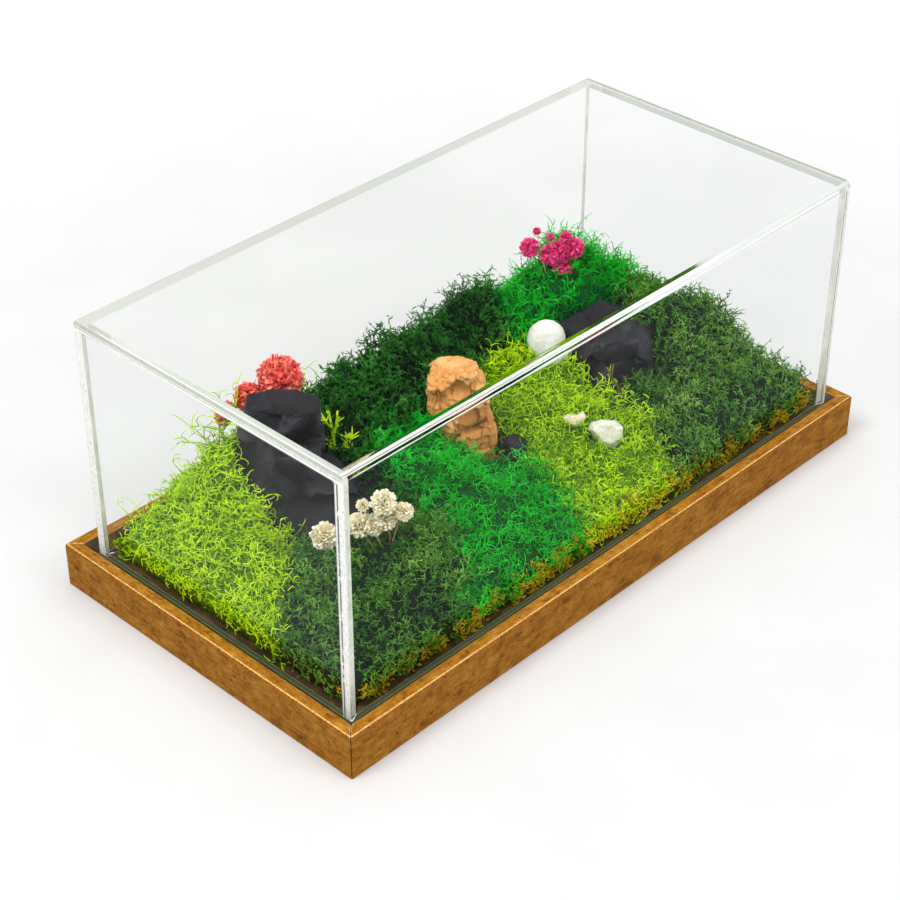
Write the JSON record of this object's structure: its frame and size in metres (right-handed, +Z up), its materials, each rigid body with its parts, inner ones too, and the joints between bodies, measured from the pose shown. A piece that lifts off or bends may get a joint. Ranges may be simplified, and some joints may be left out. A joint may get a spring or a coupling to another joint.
{
  "type": "moss terrarium",
  "caption": "Moss terrarium: a clear box cover standing in a gilded frame base, over preserved moss, rocks, quartz and small dried flowers.",
  "frame": {"origin": "middle of the base's underside, on the surface it stands on", "axes": "+X along the long side, +Y from the front long side to the back, +Z up"},
  "size_m": [0.28, 0.15, 0.1152],
  "materials": {
    "gilded_frame": "satin",
    "hardboard": "matte",
    "foam": "matte",
    "clear_acrylic": "gloss",
    "black_rock": "matte",
    "brown_rock": "matte",
    "white_pebble": "satin",
    "quartz": "gloss",
    "red_petals": "matte",
    "magenta_petals": "matte",
    "cream_petals": "matte",
    "twig": "matte",
    "moss_lime": "matte",
    "moss_emerald": "matte",
    "moss_forest": "matte"
  },
  "bodies": {
    "root": {"frame_rail_front": "gilded_frame", "frame_rail_right": "gilded_frame", "frame_rail_back": "gilded_frame", "frame_rail_left": "gilded_frame", "base_board": "hardboard", "moss_bed": "foam", "cover_wrap_sheet": "clear_acrylic", "cover_end_left": "clear_acrylic", "cover_end_right": "clear_acrylic", "rock_left": "black_rock", "rock_right": "black_rock", "rock_small": "black_rock", "brown_stone": "brown_rock", "white_pebble": "white_pebble", "quartz_tapered": "quartz", "quartz_clear": "quartz", "red_flower_large": "red_petals", "red_flower_middle": "red_petals", "red_flower_small": "red_petals", "lime_sprig": "moss_lime", "magenta_sprig": "magenta_petals", "cream_sprig_left": "cream_petals", "cream_sprig_right": "cream_petals", "forked_twig": "twig", "moss_lime_left": "moss_lime", "moss_lime_back": "moss_lime", "moss_forest_front_left": "moss_forest", "moss_emerald_front": "moss_emerald", "moss_emerald_ridge": "moss_emerald", "moss_forest_back_left": "moss_forest", "moss_forest_back_right": "moss_forest", "moss_lime_middle": "moss_lime", "moss_forest_right_front": "moss_forest", "moss_forest_right_back": "moss_forest", "moss_emerald_back": "moss_emerald"}
  },
  "joints": []
}
